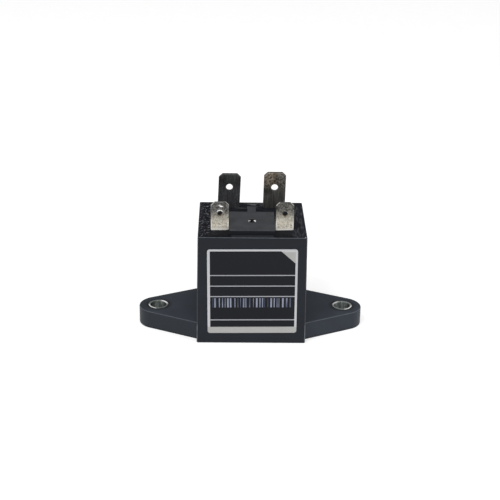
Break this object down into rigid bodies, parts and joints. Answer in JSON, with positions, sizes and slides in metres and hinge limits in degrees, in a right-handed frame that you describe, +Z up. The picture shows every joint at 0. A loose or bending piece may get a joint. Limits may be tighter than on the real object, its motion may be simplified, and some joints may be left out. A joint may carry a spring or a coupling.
{
  "type": "latching contactor",
  "caption": "Potted latching contactor in a drafted black case with bolted side ears, push-on coil and load tabs in a resin-sealed top, and a plunger-driven contact bridge inside.",
  "frame": {"origin": "centre of the mounting face", "axes": "+X along the line of the fixing holes, to the right seen from the label side; +Y from the label side to the rear; +Z up, away from the mounting face"},
  "size_m": [0.0628, 0.0275, 0.0413],
  "materials": {
    "case_plastic": "satin moulded, charcoal black with a faint blue tint",
    "sleeve_steel": "bright plated steel",
    "label_film": "silver film printed black",
    "epoxy": "glossy, with fine bubbles",
    "lid_plastic": "matte",
    "housing_plastic": "matte",
    "tin_plate": "mottled tin plate over brass",
    "contact_silver": "satin silver alloy",
    "bare_copper": "bright copper",
    "spring_steel": "drawn wire",
    "rod_steel": "turned stainless steel",
    "soft_iron": "zinc-plated soft iron",
    "brass_tube": "drawn brass",
    "fibre": "vulcanised fibre",
    "magnet": "nickel-plated magnet",
    "bobbin_plastic": "natural moulded",
    "enamelled_copper": "enamelled winding wire"
  },
  "bodies": {
    "housing": {"case": "case_plastic", "sleeve_left": "sleeve_steel", "sleeve_right": "sleeve_steel", "label": "label_film", "potting_resin": "epoxy", "lid": "lid_plastic", "inner_housing": "housing_plastic", "coil_tab_left": "tin_plate", "coil_tab_right": "tin_plate", "load_tab_left": "tin_plate", "load_tab_right": "tin_plate", "fixed_contact_left": "contact_silver", "fixed_contact_right": "contact_silver", "return_spring": "spring_steel", "fixed_core": "soft_iron", "guide_tube": "brass_tube", "stop_washer": "fibre", "yoke_frame": "soft_iron", "yoke_plate": "soft_iron", "pole_plate": "soft_iron", "latch_magnet_left": "magnet", "latch_magnet_right": "magnet", "magnet_carrier": "bobbin_plastic", "blowout_magnet_front": "magnet", "blowout_magnet_rear": "magnet", "bobbin": "bobbin_plastic", "coil_winding": "enamelled_copper", "coil_lead_left": "enamelled_copper", "coil_lead_right": "enamelled_copper"},
    "plunger_set": {"plunger": "soft_iron", "push_rod": "rod_steel", "bridge_clip": "spring_steel", "contact_spring": "spring_steel"},
    "bridge_set": {"contact_bridge": "bare_copper", "moving_contact_left": "contact_silver", "moving_contact_right": "contact_silver"}
  },
  "joints": [
    {"name": "plunger_slide", "type": "slide", "parent": "housing", "child": "plunger_set", "axis": [0, 0, 1], "range_m": [0, 0.0025], "stiffness_N_per_m": 150, "springref_m": -0.002, "deforming": ["return_spring"]},
    {"name": "bridge_slide", "type": "slide", "parent": "plunger_set", "child": "bridge_set", "axis": [0, 0, 1], "range_m": [-0.0005, 0], "deforming": ["contact_spring"]}
  ],
  "couplings": [
    {"joint": "bridge_slide", "follows": "plunger_slide", "ratio": -0.2}
  ]
}
